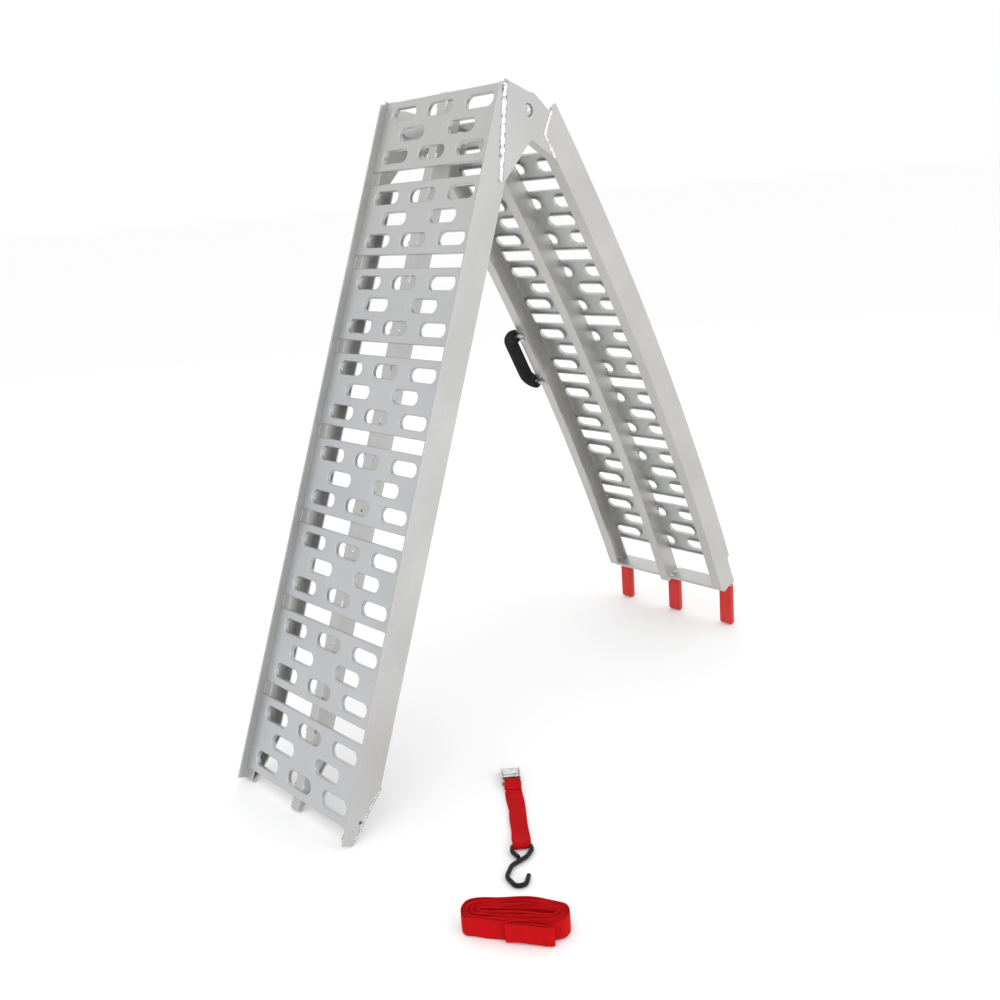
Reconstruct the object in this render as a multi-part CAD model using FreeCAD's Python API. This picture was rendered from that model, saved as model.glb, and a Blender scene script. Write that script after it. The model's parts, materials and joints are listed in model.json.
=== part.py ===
import FreeCAD, Part
import os
from math import acos, cos, degrees, pi, sin, sqrt, tan
from FreeCAD import Vector

# A folding loading ramp, standing half open as an A-frame.
# Millimetres, +Z up, the origin under the middle of the ramp on the ground.
# Each half is drawn along s, from the hinge towards its free end, and n, the height above its
# tread, which is negative on the underside. Y runs along the hinge pins.

# Both halves
half_width = 142.5          # centre line to the outer face of a ground rail
side_gap = 0.5              # the upper rails stand this much further in, clear of the hinge plates
pivot_depth = 51.5          # tread surface to the hinge pin's axis
rail_depth = 39.0           # tread surface to the rail's bottom
lip_height = 12.0           # rail's lip above the tread
web_thick = 3.0
ledge_width = 20.0          # ledge and bottom flange, from the rail's outer face
corner_round = 0.8          # on the straight extrusions; the arched ones are square
stringer_width = 20.0
stringer_wall = 2.5

# Ground half, straight
ground_lean = 21.94         # tread from the vertical, degrees
ground_start = -28.0        # rail ends at the hinge
ground_end = 1121.0         # rail ends at the ground
ground_tread_start = -26.5
ground_lip_start = -17.0
ground_treads = 8
foot_start = 1039.0         # where the underside starts to rise to the foot
foot_depth = 4.5            # tread surface to the foot's tip
foot_plate_thick = 3.0
foot_plate_width = 25.0
foot_hole_s, foot_hole_n, foot_hole_radius = 1089.0, -13.0, 3.0

# Upper half, arched
upper_lean = 33.41          # tread from the vertical at the hinge, degrees
upper_radius = 4785.0       # arch of the tread surface
upper_start = 28.8
upper_end = 1081.5
upper_tread_start = 30.6
upper_treads = 7
lip_end = 1015.0            # past this the lip is cut down
lip_cut_height = 4.5
rail_end_trim = 1070.0      # the rails' bottom corners are trimmed back to here

# Tread panels
tread_length = 122.0
tread_pitch = 144.0
tread_thick = 3.0
tread_edge_gap = 0.2        # to each rail's web
tread_flange_depth = 6.0
tread_flange_thick = 2.5
tread_flange_gap = 1.5      # to the ledges and the stringer
slot_length = 60.0
slot_width = 22.0
slot_round = 2.8            # rolled edge round each slot
slot_collar_depth = 7.5     # tread surface to the bottom of each slot's pressed collar
slot_collar_thick = 2.0
slot_row_pitch = 36.7
outer_slot_y = 89.5
inner_slot_y = 59.0

# Hinge
gusset_thick = 5.0
pin_radius = 10.0
pin_clearance = 0.05        # radial, in the upper plates
pin_recess = 2.0
pin_head_radius = 14.5
pin_head_thick = 4.0
head_gap = 0.4
weld_radius = 4.6
upper_weld_radius = 3.0

# Upper end
end_bar_start = 1075.5
end_bar_end = 1081.5
end_bar_top = 3.0
end_bar_depth = 29.0
finger_y = (-127.0, 0.0, 127.0)
finger_n = -2.0
finger_names = ("near", "middle", "far")
finger_width = 25.0
finger_thick = 8.0
dip_thick = 1.5             # red dip over the fingers
finger_tip_chamfer = 5.0

# Carrying handle, on the far rail of the upper half
handle_s = 522.0
handle_n = -46.5
handle_reach = 23.5         # rail face to the grip's centre line
handle_span = 112.0         # between the feet's centre lines
handle_bar_radius = 4.0
handle_foot = 14.0           # the bar's feet run in under the base by this
grip_radius = 13.5
handle_shoulder = 20.0      # each end of the grip is drawn in by this
pad_length, pad_width, pad_thick = 132.0, 20.0, 4.0
screw_radius, screw_head_radius, screw_head_thick = 3.0, 5.0, 2.6
screw_places = (-44.0, 44.0)

# Tie-down strap and spare webbing, lying on the ground beside the ramp
strap_end = (-170.0, -178.0)        # far end of the buckle, from the hinge pin's middle
strap_heading = 48.65               # from +X, degrees
webbing_width = 25.0
webbing_thick = 3.2                 # two plies
strap_webbing_length = 165.0
buckle_length, buckle_width, buckle_height = 41.0, 30.5, 11.0
buckle_sheet = 1.5
buckle_bar_radius = 2.2
cam_axle_x, cam_axle_z = 25.0, 6.6
hook_wire_radius = 3.2
hook_fit = 0.3
hook_lift = 5.2                     # height of the wire inside the webbing's loop
bundle_place = (-430.0, -441.0)
bundle_heading = -52.4
bundle_length, bundle_width, bundle_height = 146.0, 54.0, 25.0


class Half:
    """One half of the ramp: which way it runs, its lean, its arch and its width."""

    def __init__(self, sign, lean, radius, width):
        self.sign = sign
        self.lean = lean
        self.radius = radius
        self.width = width

    def point(self, s, y, n):
        """A point from (s, y, n), with the hinge pin's axis through the origin."""
        if self.radius is None:
            return Vector(self.sign * s, y, n + pivot_depth)
        turn = s / self.radius
        x = (self.radius + n) * sin(turn)
        z = (self.radius + n) * cos(turn) - self.radius + pivot_depth
        return Vector(self.sign * x, y, z)

    def along(self, outline, s_from, s_to):
        """A solid of the section outline, a list of (y, n), from s_from to s_to."""
        corner = corner_round if self.radius is None else 0.0
        face = Part.Face(rounded_wire([Vector(0, y, n + pivot_depth) for y, n in outline], corner))
        if self.radius is None:
            face.translate(Vector(self.sign * s_from, 0, 0))
            return face.extrude(Vector(self.sign * (s_to - s_from), 0, 0))
        centre = Vector(0, 0, pivot_depth - self.radius)
        face.rotate(centre, Vector(0, 1, 0), degrees(s_from / self.radius))
        return face.revolve(centre, Vector(0, 1, 0), degrees((s_to - s_from) / self.radius))

    def plate(self, corners, y_from, y_to, radii=0.0):
        """A flat plate with the side outline corners, a list of (s, n)."""
        face = Part.Face(rounded_wire([self.point(s, y_from, n) for s, n in corners], radii))
        return face.extrude(Vector(0, y_to - y_from, 0))

    def seat(self, shape, s, n=0.0):
        """Moves a shape drawn at the origin to (s, n), square to the tread there."""
        if self.radius is not None:
            shape.rotate(Vector(), Vector(0, 1, 0), degrees(s / self.radius))
        shape.translate(self.point(s, 0, n))
        return shape

    def stand(self, shape):
        """Leans a finished shape to its place about the hinge pin."""
        shape = shape.copy()
        shape.rotate(Vector(), Vector(0, 1, 0), self.sign * (90.0 - self.lean))
        return shape


ground = Half(-1, ground_lean, None, half_width)
upper = Half(1, upper_lean, upper_radius, half_width - side_gap)


def rounded_wire(corners, radii):
    """A closed wire through the corners, each rounded by its radius."""
    count = len(corners)
    if not isinstance(radii, (list, tuple)):
        radii = [radii] * count
    edges = []
    ends = []
    for i, corner in enumerate(corners):
        back = (corners[i - 1] - corner).normalize()
        ahead = (corners[(i + 1) % count] - corner).normalize()
        opening = acos(max(-1.0, min(1.0, back.dot(ahead))))
        radius = radii[i]
        if radius <= 0 or opening > pi - 0.01:
            ends.append((corner, None, corner))
            continue
        reach = radius / tan(opening / 2)
        middle = (back + ahead).normalize()
        crest = corner + middle * (radius / sin(opening / 2) - radius)
        ends.append((corner + back * reach, crest, corner + ahead * reach))
    for i in range(count):
        start, crest, end = ends[i]
        if crest is not None:
            edges.append(Part.Arc(start, crest, end).toShape())
        next_start = ends[(i + 1) % count][0]
        if (next_start - end).Length > 1e-6:
            edges.append(Part.LineSegment(end, next_start).toShape())
    return Part.Wire(edges)


def mirrored(shape):
    """The same piece on the far side."""
    return shape.mirror(Vector(), Vector(0, 1, 0))


def cylinder_y(radius, y_from, y_to):
    return Part.makeCylinder(radius, abs(y_to - y_from), Vector(0, min(y_from, y_to), 0), Vector(0, 1, 0))


def rod(points, radius):
    """A round bar along straight runs, with a ball at every point."""
    parts = [Part.makeSphere(radius, point) for point in points]
    for start, end in zip(points, points[1:]):
        parts.append(Part.makeCylinder(radius, (end - start).Length, start, end - start))
    return join(parts)


def bent_wire(corners, bends, radius):
    """A wire of the given radius through the corners, each bend an arc."""
    edges = []
    start = corners[0]
    for i in range(1, len(corners) - 1):
        back = (corners[i - 1] - corners[i]).normalize()
        ahead = (corners[i + 1] - corners[i]).normalize()
        half_turn = acos(max(-1.0, min(1.0, back.dot(ahead)))) / 2
        reach = bends[i - 1] / tan(half_turn)
        crest = corners[i] + (back + ahead).normalize() * (bends[i - 1] / sin(half_turn) - bends[i - 1])
        first, last = corners[i] + back * reach, corners[i] + ahead * reach
        edges.append(Part.LineSegment(start, first).toShape())
        edges.append(Part.Arc(first, crest, last).toShape())
        start = last
    edges.append(Part.LineSegment(start, corners[-1]).toShape())
    section = Part.Wire(Part.makeCircle(radius, corners[0], corners[1] - corners[0]))
    return Part.Wire(edges).makePipeShell([section], True, True)


def join(shapes):
    solid = shapes[0].multiFuse(shapes[1:]) if len(shapes) > 1 else shapes[0]
    return solid.removeSplitter()


def near_rail(half, s_from, s_to):
    """The near rail's whole extrusion: web with a lip, a ledge for the treads and a bottom flange."""
    outer = -half.width
    inner = outer + web_thick
    shelf = outer + ledge_width
    outline = [
        (outer, -rail_depth), (outer, lip_height), (inner, lip_height), (inner, -tread_thick),
        (shelf, -tread_thick), (shelf, -tread_thick - web_thick), (inner, -tread_thick - web_thick),
        (inner, web_thick - rail_depth), (shelf, web_thick - rail_depth), (shelf, -rail_depth),
    ]
    return half.along(outline, s_from, s_to)


def stringer(half, s_from, s_to):
    """The box section down the middle, under the treads."""
    side, top, bottom = stringer_width / 2, -tread_thick, -rail_depth
    wall = stringer_wall
    outside = [(-side, bottom), (-side, top), (side, top), (side, bottom)]
    inside = [(wall - side, bottom + wall), (wall - side, top - wall),
              (side - wall, top - wall), (side - wall, bottom + wall)]
    return half.along(outside, s_from, s_to).cut(half.along(inside, s_from - 1, s_to + 1))


def oblong(length, width, height):
    """A slot's prism about the origin, its length along Y."""
    run = (length - width) / 2
    a, b = Vector(-width / 2, -run, 0), Vector(-width / 2, run, 0)
    c, d = Vector(width / 2, run, 0), Vector(width / 2, -run, 0)
    wire = Part.Wire([
        Part.LineSegment(a, b).toShape(), Part.Arc(b, Vector(0, length / 2, 0), c).toShape(),
        Part.LineSegment(c, d).toShape(), Part.Arc(d, Vector(0, -length / 2, 0), a).toShape(),
    ])
    return Part.Face(wire).extrude(Vector(0, 0, height))


def slot_places():
    """Middles of the slots on one panel: three, two and three across it."""
    for x in (-slot_row_pitch, slot_row_pitch):
        for y in (-outer_slot_y, 0.0, outer_slot_y):
            yield x, y
    for y in (-inner_slot_y, inner_slot_y):
        yield 0.0, y


def tread_panel(half):
    """One pressed tread panel, its top face at z 0: slotted sheet with its ends turned down."""
    reach = half.width - web_thick - tread_edge_gap
    panel = Part.makeBox(tread_length, 2 * reach, tread_thick, Vector(-tread_length / 2, -reach, -tread_thick))
    flange_from = stringer_width / 2 + tread_flange_gap
    flange_to = half.width - ledge_width - tread_flange_gap
    flanges = []
    for x in (-tread_length / 2, tread_length / 2 - tread_flange_thick):
        for y in (-flange_to, flange_from):
            flanges.append(Part.makeBox(tread_flange_thick, flange_to - flange_from,
                                        tread_flange_depth, Vector(x, y, -tread_flange_depth)))
    grown = 2 * slot_collar_thick
    collars = [oblong(slot_length + grown, slot_width + grown, slot_collar_depth - 1).translate(
        Vector(x, y, -slot_collar_depth)) for x, y in slot_places()]
    under_side = slot_collar_depth - tread_thick
    over_stringer = Part.makeBox(tread_length, stringer_width, under_side,
                                 Vector(-tread_length / 2, -stringer_width / 2, -slot_collar_depth))
    slots = [oblong(slot_length, slot_width, 3 * slot_collar_depth).translate(Vector(x, y, -2 * slot_collar_depth))
             for x, y in slot_places()]
    panel = join([panel] + flanges + collars).cut(slots + [over_stringer])
    top_edges = [e for e in panel.Edges
                 if e.BoundBox.ZMin > -1e-4 and e.BoundBox.XMax - e.BoundBox.XMin < tread_length - 1]
    return panel.makeFillet(slot_round, top_edges)


def treads(half, count, start):
    """All of one half's panels, each seated on the ledges."""
    panel = tread_panel(half)
    return [half.seat(panel.copy(), start + tread_length / 2 + i * tread_pitch) for i in range(count)]


def foot_cut(half):
    """What is cut off below the foot's rising underside."""
    far = ground_end + 60
    slope = (rail_depth - foot_depth) / (ground_end - foot_start)
    corners = [(foot_start, -rail_depth), (far, -rail_depth + slope * (far - foot_start)),
               (far, -rail_depth - 80), (foot_start, -rail_depth - 80)]
    return half.plate(corners, -half_width - 1, half_width + 1)


def foot_plate(half, y_from, y_to):
    """The strip welded along a foot's rising underside."""
    run, rise = ground_end - foot_start, rail_depth - foot_depth
    length = sqrt(run * run + rise * rise)
    down_s, down_n = foot_plate_thick * rise / length, -foot_plate_thick * run / length
    corners = [(foot_start, -rail_depth), (ground_end, -foot_depth),
               (ground_end + down_s, -foot_depth + down_n), (foot_start + down_s, -rail_depth + down_n)]
    return half.plate(corners, y_from, y_to, [0.3, 0.3, 1.2, 1.2])


def ground_hinge_cut():
    """The rail's web is cut back here, so that the upper plates can turn inside the ground ones."""
    corners = [(ground_start - 5, -3.1), (124.0, -rail_depth), (124.0, -rail_depth - 5), (ground_start - 5, -rail_depth - 5)]
    return ground.plate(corners, -half_width - 1, -half_width + ledge_width + 1)


def ground_lip_cut():
    """The lip's corner, cut down at the hinge."""
    corners = [(ground_start - 5, 3.0), (ground_lip_start - 6, 3.0), (ground_lip_start, lip_height + 5),
               (ground_start - 5, lip_height + 5)]
    return ground.plate(corners, -half_width - 1, -half_width + web_thick + 1, [0, 3.0, 0, 0])


ground_plate_outline = [(-25.0, 2.5), (-26.5, -60.0), (-20.0, -86.0), (20.0, -87.0), (44.0, -68.0), (124.0, -31.5)]
ground_plate_rounding = [4.0, 6.0, 14.0, 18.0, 8.0, 2.0]


def ground_hinge_plate():
    """The near hinge plate of the ground half, on the outside of the rail."""
    outside = -half_width - gusset_thick
    plate = ground.plate(ground_plate_outline, outside, -half_width, ground_plate_rounding)
    return plate.cut(cylinder_y(pin_radius, outside - 1, -half_width + 1))


upper_plate_outline = [(30.8, -1.0), (29.4, -8.0), (-10.0, -20.0), (-34.0, -44.0), (-26.0, -78.0),
                       (2.0, -88.0), (40.0, -68.5), (97.0, -39.05), (53.0, -39.05)]
upper_plate_rounding = [0.3, 2.0, 14.0, 16.0, 16.0, 14.0, 4.0, 0.0, 0.0]


def upper_hinge_plate():
    """The near hinge plate of the upper half, in the plane of its rail, with its lower edge turned in."""
    outer = -upper.width
    plate = upper.plate(upper_plate_outline, outer, outer + gusset_thick, upper_plate_rounding)
    strip = upper.plate([(40.0, -67.5), (96.0, -39.1), (85.5, -39.1), (37.8, -63.5)],
                        outer + gusset_thick - 0.5, outer + ledge_width)
    plate = join([plate, strip])
    return plate.cut(cylinder_y(pin_radius + pin_clearance, outer - 1, outer + gusset_thick + 1))


def upper_hinge_cut():
    """The upper rail's web and flange make way for its hinge plate."""
    corners = [(upper_start - 5, -1.0), (30.8, -1.0), (53.0, -rail_depth - 0.05), (53.0, -rail_depth - 5),
               (upper_start - 5, -rail_depth - 5)]
    return upper.plate(corners, -half_width - 1, -half_width + ledge_width + 2)


def hinge_pin():
    """A headed pin, fast in the ground plate and running in the upper one."""
    outer = -half_width - gusset_thick + pin_recess
    inner = -upper.width + gusset_thick + head_gap
    shank = cylinder_y(pin_radius, outer, inner + pin_head_thick)
    rim = [e for e in shank.Edges if abs(e.BoundBox.YMax - outer) < 1e-3 and abs(e.BoundBox.YMin - outer) < 1e-3]
    shank = shank.makeChamfer(1.5, rim)
    head = cylinder_y(pin_head_radius, inner, inner + pin_head_thick)
    dimple = Part.makeSphere(9.0, Vector(0, outer - 7.5, 0))
    return join([shank, head]).cut(dimple)


def bead(half, start, end, y, radius, neighbours):
    """A weld bead from start to end, both (s, n), standing proud of the rail's outer face."""
    run = rod([half.point(start[0], y, start[1]), half.point(end[0], y, end[1])], radius)
    proud = Part.makeBox(400, radius + 1, 300, Vector(-200, -half.width - radius - 1, -150))
    return run.common(proud).cut(neighbours)


def end_bar():
    """The near one of two flat bars on edge that close the upper half and carry the fingers."""
    reach = upper.width - web_thick
    corners = [(end_bar_start, end_bar_top), (end_bar_end, end_bar_top),
               (end_bar_end, -end_bar_depth), (end_bar_start, -end_bar_depth)]
    return upper.plate(corners, -reach, -stringer_width / 2)


def upper_end_cut():
    """The rails' square ends: their lips are cut down and their bottom corners trimmed."""
    tall = [(lip_end, lip_height + 5), (lip_end + 5, lip_cut_height), (upper_end + 10, lip_cut_height + 1),
            (upper_end + 10, lip_height + 5)]
    low = [(rail_end_trim, -rail_depth), (upper_end, lip_cut_height), (upper_end + 20, lip_cut_height),
           (upper_end + 20, -rail_depth - 10), (rail_end_trim, -rail_depth - 10)]
    reach = half_width + 1
    return [upper.plate(tall, -reach, reach, [0, 2.0, 0, 0]), upper.plate(low, -reach, reach)]


nodes = {}


def add(name, shape):
    nodes[name] = shape


# Ground half
rail = near_rail(ground, ground_start, ground_end).cut([ground_hinge_cut(), ground_lip_cut(), foot_cut(ground)])
hole = Part.makeCylinder(foot_hole_radius, 3 * web_thick, ground.point(foot_hole_s, -half_width - web_thick, foot_hole_n),
                         Vector(0, 1, 0))
rail = rail.cut(hole)
add("ground_rail_near", ground.stand(rail))
add("ground_rail_far", ground.stand(mirrored(rail)))
add("ground_stringer", ground.stand(stringer(ground, ground_start, ground_end).cut(foot_cut(ground))))
for number, panel in enumerate(treads(ground, ground_treads, ground_tread_start), 1):
    add(f"ground_tread_{number}", ground.stand(panel))
edge = foot_plate(ground, -half_width, foot_plate_width - half_width)
add("foot_plate_near", ground.stand(edge))
add("foot_plate_far", ground.stand(mirrored(edge)))
add("foot_plate_middle", ground.stand(foot_plate(ground, -foot_plate_width / 2, foot_plate_width / 2)))
plate = ground_hinge_plate()
add("ground_hinge_plate_near", ground.stand(plate))
add("ground_hinge_plate_far", ground.stand(mirrored(plate)))
weld = bead(ground, (-19.0, 1.5), (119.0, -30.0), -half_width, weld_radius, [plate])
add("ground_hinge_welds", Part.makeCompound([ground.stand(weld), ground.stand(mirrored(weld))]))
pin = hinge_pin()
add("hinge_pin_near", pin)
add("hinge_pin_far", mirrored(pin))

# Upper half
rail = near_rail(upper, upper_start, upper_end).cut([upper_hinge_cut()] + upper_end_cut())
add("upper_rail_near", upper.stand(rail))
add("upper_rail_far", upper.stand(mirrored(rail)))
add("upper_stringer", upper.stand(stringer(upper, upper_start, upper_end)))
for number, panel in enumerate(treads(upper, upper_treads, upper_tread_start), 1):
    add(f"upper_tread_{number}", upper.stand(panel))
plate = upper_hinge_plate()
add("upper_hinge_plate_near", upper.stand(plate))
add("upper_hinge_plate_far", upper.stand(mirrored(plate)))
weld = bead(upper, (34.0, -6.0), (51.5, -36.0), -upper.width + 1.4, upper_weld_radius, [])
add("upper_hinge_welds", Part.makeCompound([upper.stand(weld), upper.stand(mirrored(weld))]))
bar = upper.stand(end_bar()).cut(nodes["upper_rail_near"])
add("end_bar_near", bar)
add("end_bar_far", mirrored(bar))

# Height of the hinge above the ground, where the ground half's foot touches
hinge_height = -min(shape.optimalBoundingBox(False).ZMin for shape in nodes.values())


def above_end_bar():
    """Everything on the hinge side of the end bar's outer face."""
    block = Part.makeBox(200, 2 * half_width, 200, Vector(-200, -half_width, -100))
    return upper.stand(upper.seat(block, end_bar_end, -pivot_depth + 37.0))


def finger_bar(y, grow, low, high):
    """An upright flat bar with chamfered lower corners, grown all round."""
    top = upper.stand(Part.Vertex(upper.point(end_bar_end, y, finger_n))).Point
    wide, cut = finger_width / 2 + grow, finger_tip_chamfer
    thick = finger_thick / 2 + grow
    profile = [(-wide, high), (-wide, low + cut), (cut - wide, low), (wide - cut, low), (wide, low + cut), (wide, high)]
    corners = [Vector(top.x - thick, y + across, height) for across, height in profile]
    return Part.Face(Part.makePolygon(corners + corners[:1])).extrude(Vector(2 * thick, 0, 0))


bar_height = upper.stand(Part.Vertex(upper.point(end_bar_end, 0, finger_n))).Z
hidden = above_end_bar()
for side, y in zip(finger_names, finger_y):
    core = finger_bar(y, 0.0, dip_thick - hinge_height, bar_height + 20).cut(hidden)
    dip = finger_bar(y, dip_thick, -hinge_height, bar_height + 20).cut([hidden, core])
    add(f"finger_{side}", core)
    add(f"finger_dip_{side}", dip)


def handle_path(reach):
    """Middle line of the carrying handle, from foot to foot, reaching out along Y."""
    half_span = handle_span / 2
    return [Vector(-half_span, 0, 0), Vector(handle_shoulder - half_span, reach, 0),
            Vector(half_span - handle_shoulder, reach, 0), Vector(half_span, 0, 0)]


def on_far_rail(shape):
    """Seats a handle piece, drawn with the rail's outer face as y 0, on the upper half's far rail."""
    shape = shape.copy()
    shape.translate(Vector(0, upper.width, 0))
    return upper.stand(upper.seat(shape, handle_s, handle_n))


# The handle's base lies under the rail's bottom flange, its top eased to the arch. The bar's feet lie under
# the base, and the grip stops at the rail's outer face
under_rail = -rail_depth - handle_n
inside_rail = Part.makeBox(400, 60, 200, Vector(-200, -60, -100))
base = Part.makeBox(pad_length, pad_width, pad_thick, Vector(-pad_length / 2, -pad_width, under_rail - pad_thick))
screws = []
for x in screw_places:
    place, up = Vector(x, -pad_width / 2, under_rail - pad_thick), Vector(0, 0, 1)
    shank = Part.makeCylinder(screw_radius, pad_thick + web_thick, place, up)
    head = Part.makeCylinder(screw_head_radius, screw_head_thick, place, -up)
    screws.append(join([shank, head]))
path = handle_path(handle_reach)
feet = [Vector(point.x, -handle_foot, 0) for point in (path[0], path[-1])]
bar = rod(feet[:1] + path + feet[1:], handle_bar_radius)
grip = rod(path, grip_radius).cut([inside_rail, bar])
bar = bar.cut(base)
add("handle_base", on_far_rail(base.cut(screws)))
add("handle_bar", on_far_rail(bar))
add("handle_grip", on_far_rail(grip))
for number, screw in enumerate(screws, 1):
    add(f"handle_screw_{number}", on_far_rail(screw))
nodes["upper_rail_far"] = nodes["upper_rail_far"].cut([nodes["handle_screw_1"], nodes["handle_screw_2"]])
nodes["handle_base"] = nodes["handle_base"].cut(nodes["upper_rail_far"])


def lay(shape, place, heading):
    """Lays a piece drawn on the ground plane at its place beside the ramp."""
    shape = shape.copy()
    shape.rotate(Vector(), Vector(0, 0, 1), heading)
    shape.translate(Vector(place[0], place[1], -hinge_height))
    return shape


# The strap is drawn with the buckle's outer end at x 0 and the hook towards -X, flat on z 0
def cam_buckle():
    """The buckle: its bent sheet frame, and the cam lever on its axle."""
    side = buckle_width / 2
    floor = Part.makeBox(buckle_length - 12, buckle_width, buckle_sheet, Vector(12 - buckle_length, -side, 0))
    cheek = Part.makeBox(buckle_length, buckle_sheet, buckle_height, Vector(-buckle_length, -side, 0))
    corners = [e for e in cheek.Edges if e.BoundBox.YLength > 1 and e.BoundBox.ZMin > buckle_height - 1]
    cheek = cheek.makeFillet(5.0, corners)
    bar = cylinder_y(buckle_bar_radius, -side + 1, side - 1)
    anchor = bar.copy().translate(Vector(4.5 - buckle_length, 0, 4.5))
    crown = bar.copy().translate(Vector(-3.5, 0, 4.0))
    axle = bar.copy().translate(Vector(-cam_axle_x, 0, cam_axle_z))
    frame = join([floor, cheek, mirrored(cheek), anchor, crown, axle])
    reach = side - buckle_sheet - 0.5
    cam = cylinder_y(4.0, -reach, reach).translate(Vector(-cam_axle_x, 0, cam_axle_z))
    lid = [Vector(-cam_axle_x, -reach, cam_axle_z + 4.0), Vector(-cam_axle_x, -reach, cam_axle_z + 1.2),
           Vector(-8.5, -reach, cam_axle_z + 3.2), Vector(-7.5, -reach, cam_axle_z + 5.2)]
    lid = Part.Face(Part.makePolygon(lid + lid[:1])).extrude(Vector(0, 2 * reach, 0))
    bore = cylinder_y(buckle_bar_radius + pin_clearance, -side, side).translate(Vector(-cam_axle_x, 0, cam_axle_z))
    return frame, join([cam, lid]).cut(bore)


def s_hook(radius):
    """The hook, its closed eye inside the webbing's loop and its open end flat on the ground."""
    outline = [(6.2, -26.8), (14.0, -14.0), (13.0, 0.0), (-13.0, 0.0), (-14.0, -12.0), (-5.0, -27.0),
               (17.0, -43.0), (26.0, -66.0), (15.0, -87.0), (1.0, -84.0), (-4.0, -67.0)]
    bends = [10.0, 6.5, 6.5, 9.0, 20.0, 16.0, 14.0, 9.0, 9.0]
    hook = bent_wire([Vector(along, across, 0) for across, along in outline], bends, radius)
    hook = join([hook, Part.makeSphere(radius, Vector(outline[-1][1], outline[-1][0], 0))])
    hook.rotate(Vector(), Vector(0, 1, 0), -degrees((hook_lift - hook_wire_radius) / 88.0))
    return hook.translate(Vector(3.0 - buckle_length - strap_webbing_length, 0, hook_lift))


def strap_webbing():
    """The strap's webbing: two plies, from the buckle's bar to the loop that holds the hook."""
    start, end = 1.5 - buckle_length, -buckle_length - strap_webbing_length
    top = 2 * hook_lift
    profile = [(start, buckle_sheet + 0.3), (start, buckle_sheet + 0.3 + webbing_thick), (start - 14, webbing_thick),
               (end + 24, webbing_thick), (end + 9, top), (end - 3, top), (end - 3, 0), (start - 12, 0)]
    rounding = [0.4, 1.0, 8.0, 10.0, 6.0, 4.5, 4.5, 8.0]
    face = Part.Face(rounded_wire([Vector(x, -webbing_width / 2, z) for x, z in profile], rounding))
    return face.extrude(Vector(0, webbing_width, 0)).cut(s_hook(hook_wire_radius + hook_fit))


def spare_webbing():
    """Outer shape of the folded spare webbing: a long oval, standing on the webbing's edges."""
    oval = oblong(bundle_length, bundle_width, bundle_height)
    oval.rotate(Vector(), Vector(0, 0, 1), 90)
    return oval


frame, lever = cam_buckle()
for name, shape in (("buckle_frame", frame), ("buckle_lever", lever), ("strap_webbing", strap_webbing()),
                    ("s_hook", s_hook(hook_wire_radius))):
    add(name, lay(shape, strap_end, strap_heading))
add("spare_webbing", lay(spare_webbing(), bundle_place, bundle_heading))

# The row's origin: under the middle of the ramp alone, on the ground
loose = ("buckle_frame", "buckle_lever", "strap_webbing", "s_hook", "spare_webbing")
boxes = [shape.optimalBoundingBox(False) for name, shape in nodes.items() if name not in loose]
middle_x = (min(box.XMin for box in boxes) + max(box.XMax for box in boxes)) / 2
middle_y = (min(box.YMin for box in boxes) + max(box.YMax for box in boxes)) / 2
shift = Vector(-middle_x, -middle_y, hinge_height)
axle = Vector(-cam_axle_x, 0, cam_axle_z)
axle = lay(Part.Vertex(axle), strap_end, strap_heading).Point + shift
handle_middle = on_far_rail(Part.Vertex(Vector(0, 0, 0))).Point + shift
print("hinge", shift, "cam axle", axle, "handle", handle_middle)

os.makedirs("parts", exist_ok=True)
for name, shape in nodes.items():
    shape.translate(shift)
    box = shape.optimalBoundingBox(False)
    print(f"{name:26s} solids {len(shape.Solids)} valid {shape.isValid()} volume {shape.Volume / 1000:9.2f} cm3  "
          f"x {box.XMin:8.1f} {box.XMax:8.1f} y {box.YMin:7.1f} {box.YMax:7.1f} z {box.ZMin:7.2f} {box.ZMax:7.2f}")
    shape.exportStep(f"parts/{name}.step")
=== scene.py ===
import bpy
import json
import math
import random
from mathutils import Matrix, Vector


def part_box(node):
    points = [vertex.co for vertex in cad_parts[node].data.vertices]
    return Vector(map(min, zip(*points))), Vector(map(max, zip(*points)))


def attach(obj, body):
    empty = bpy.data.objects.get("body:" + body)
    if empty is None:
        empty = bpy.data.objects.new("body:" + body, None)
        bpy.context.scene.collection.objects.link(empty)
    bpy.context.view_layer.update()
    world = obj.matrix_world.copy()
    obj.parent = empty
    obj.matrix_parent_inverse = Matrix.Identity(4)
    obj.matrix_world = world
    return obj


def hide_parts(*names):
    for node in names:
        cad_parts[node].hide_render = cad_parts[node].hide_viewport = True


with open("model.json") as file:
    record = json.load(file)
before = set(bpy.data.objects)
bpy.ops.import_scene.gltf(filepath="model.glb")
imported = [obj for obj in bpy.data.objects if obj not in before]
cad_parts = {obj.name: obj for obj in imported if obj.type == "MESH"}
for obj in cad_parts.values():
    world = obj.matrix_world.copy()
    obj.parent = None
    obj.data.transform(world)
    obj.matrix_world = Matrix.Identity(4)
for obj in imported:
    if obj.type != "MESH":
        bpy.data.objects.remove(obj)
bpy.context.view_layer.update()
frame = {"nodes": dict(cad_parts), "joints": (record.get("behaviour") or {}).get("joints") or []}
bpy.ops.object.select_all(action='DESELECT')
print("frame loaded,", len(frame["nodes"]), "nodes")

hinge = Vector(next(j for j in frame["joints"] if j["name"] == "ramp_hinge")["pos_m"])

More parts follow.
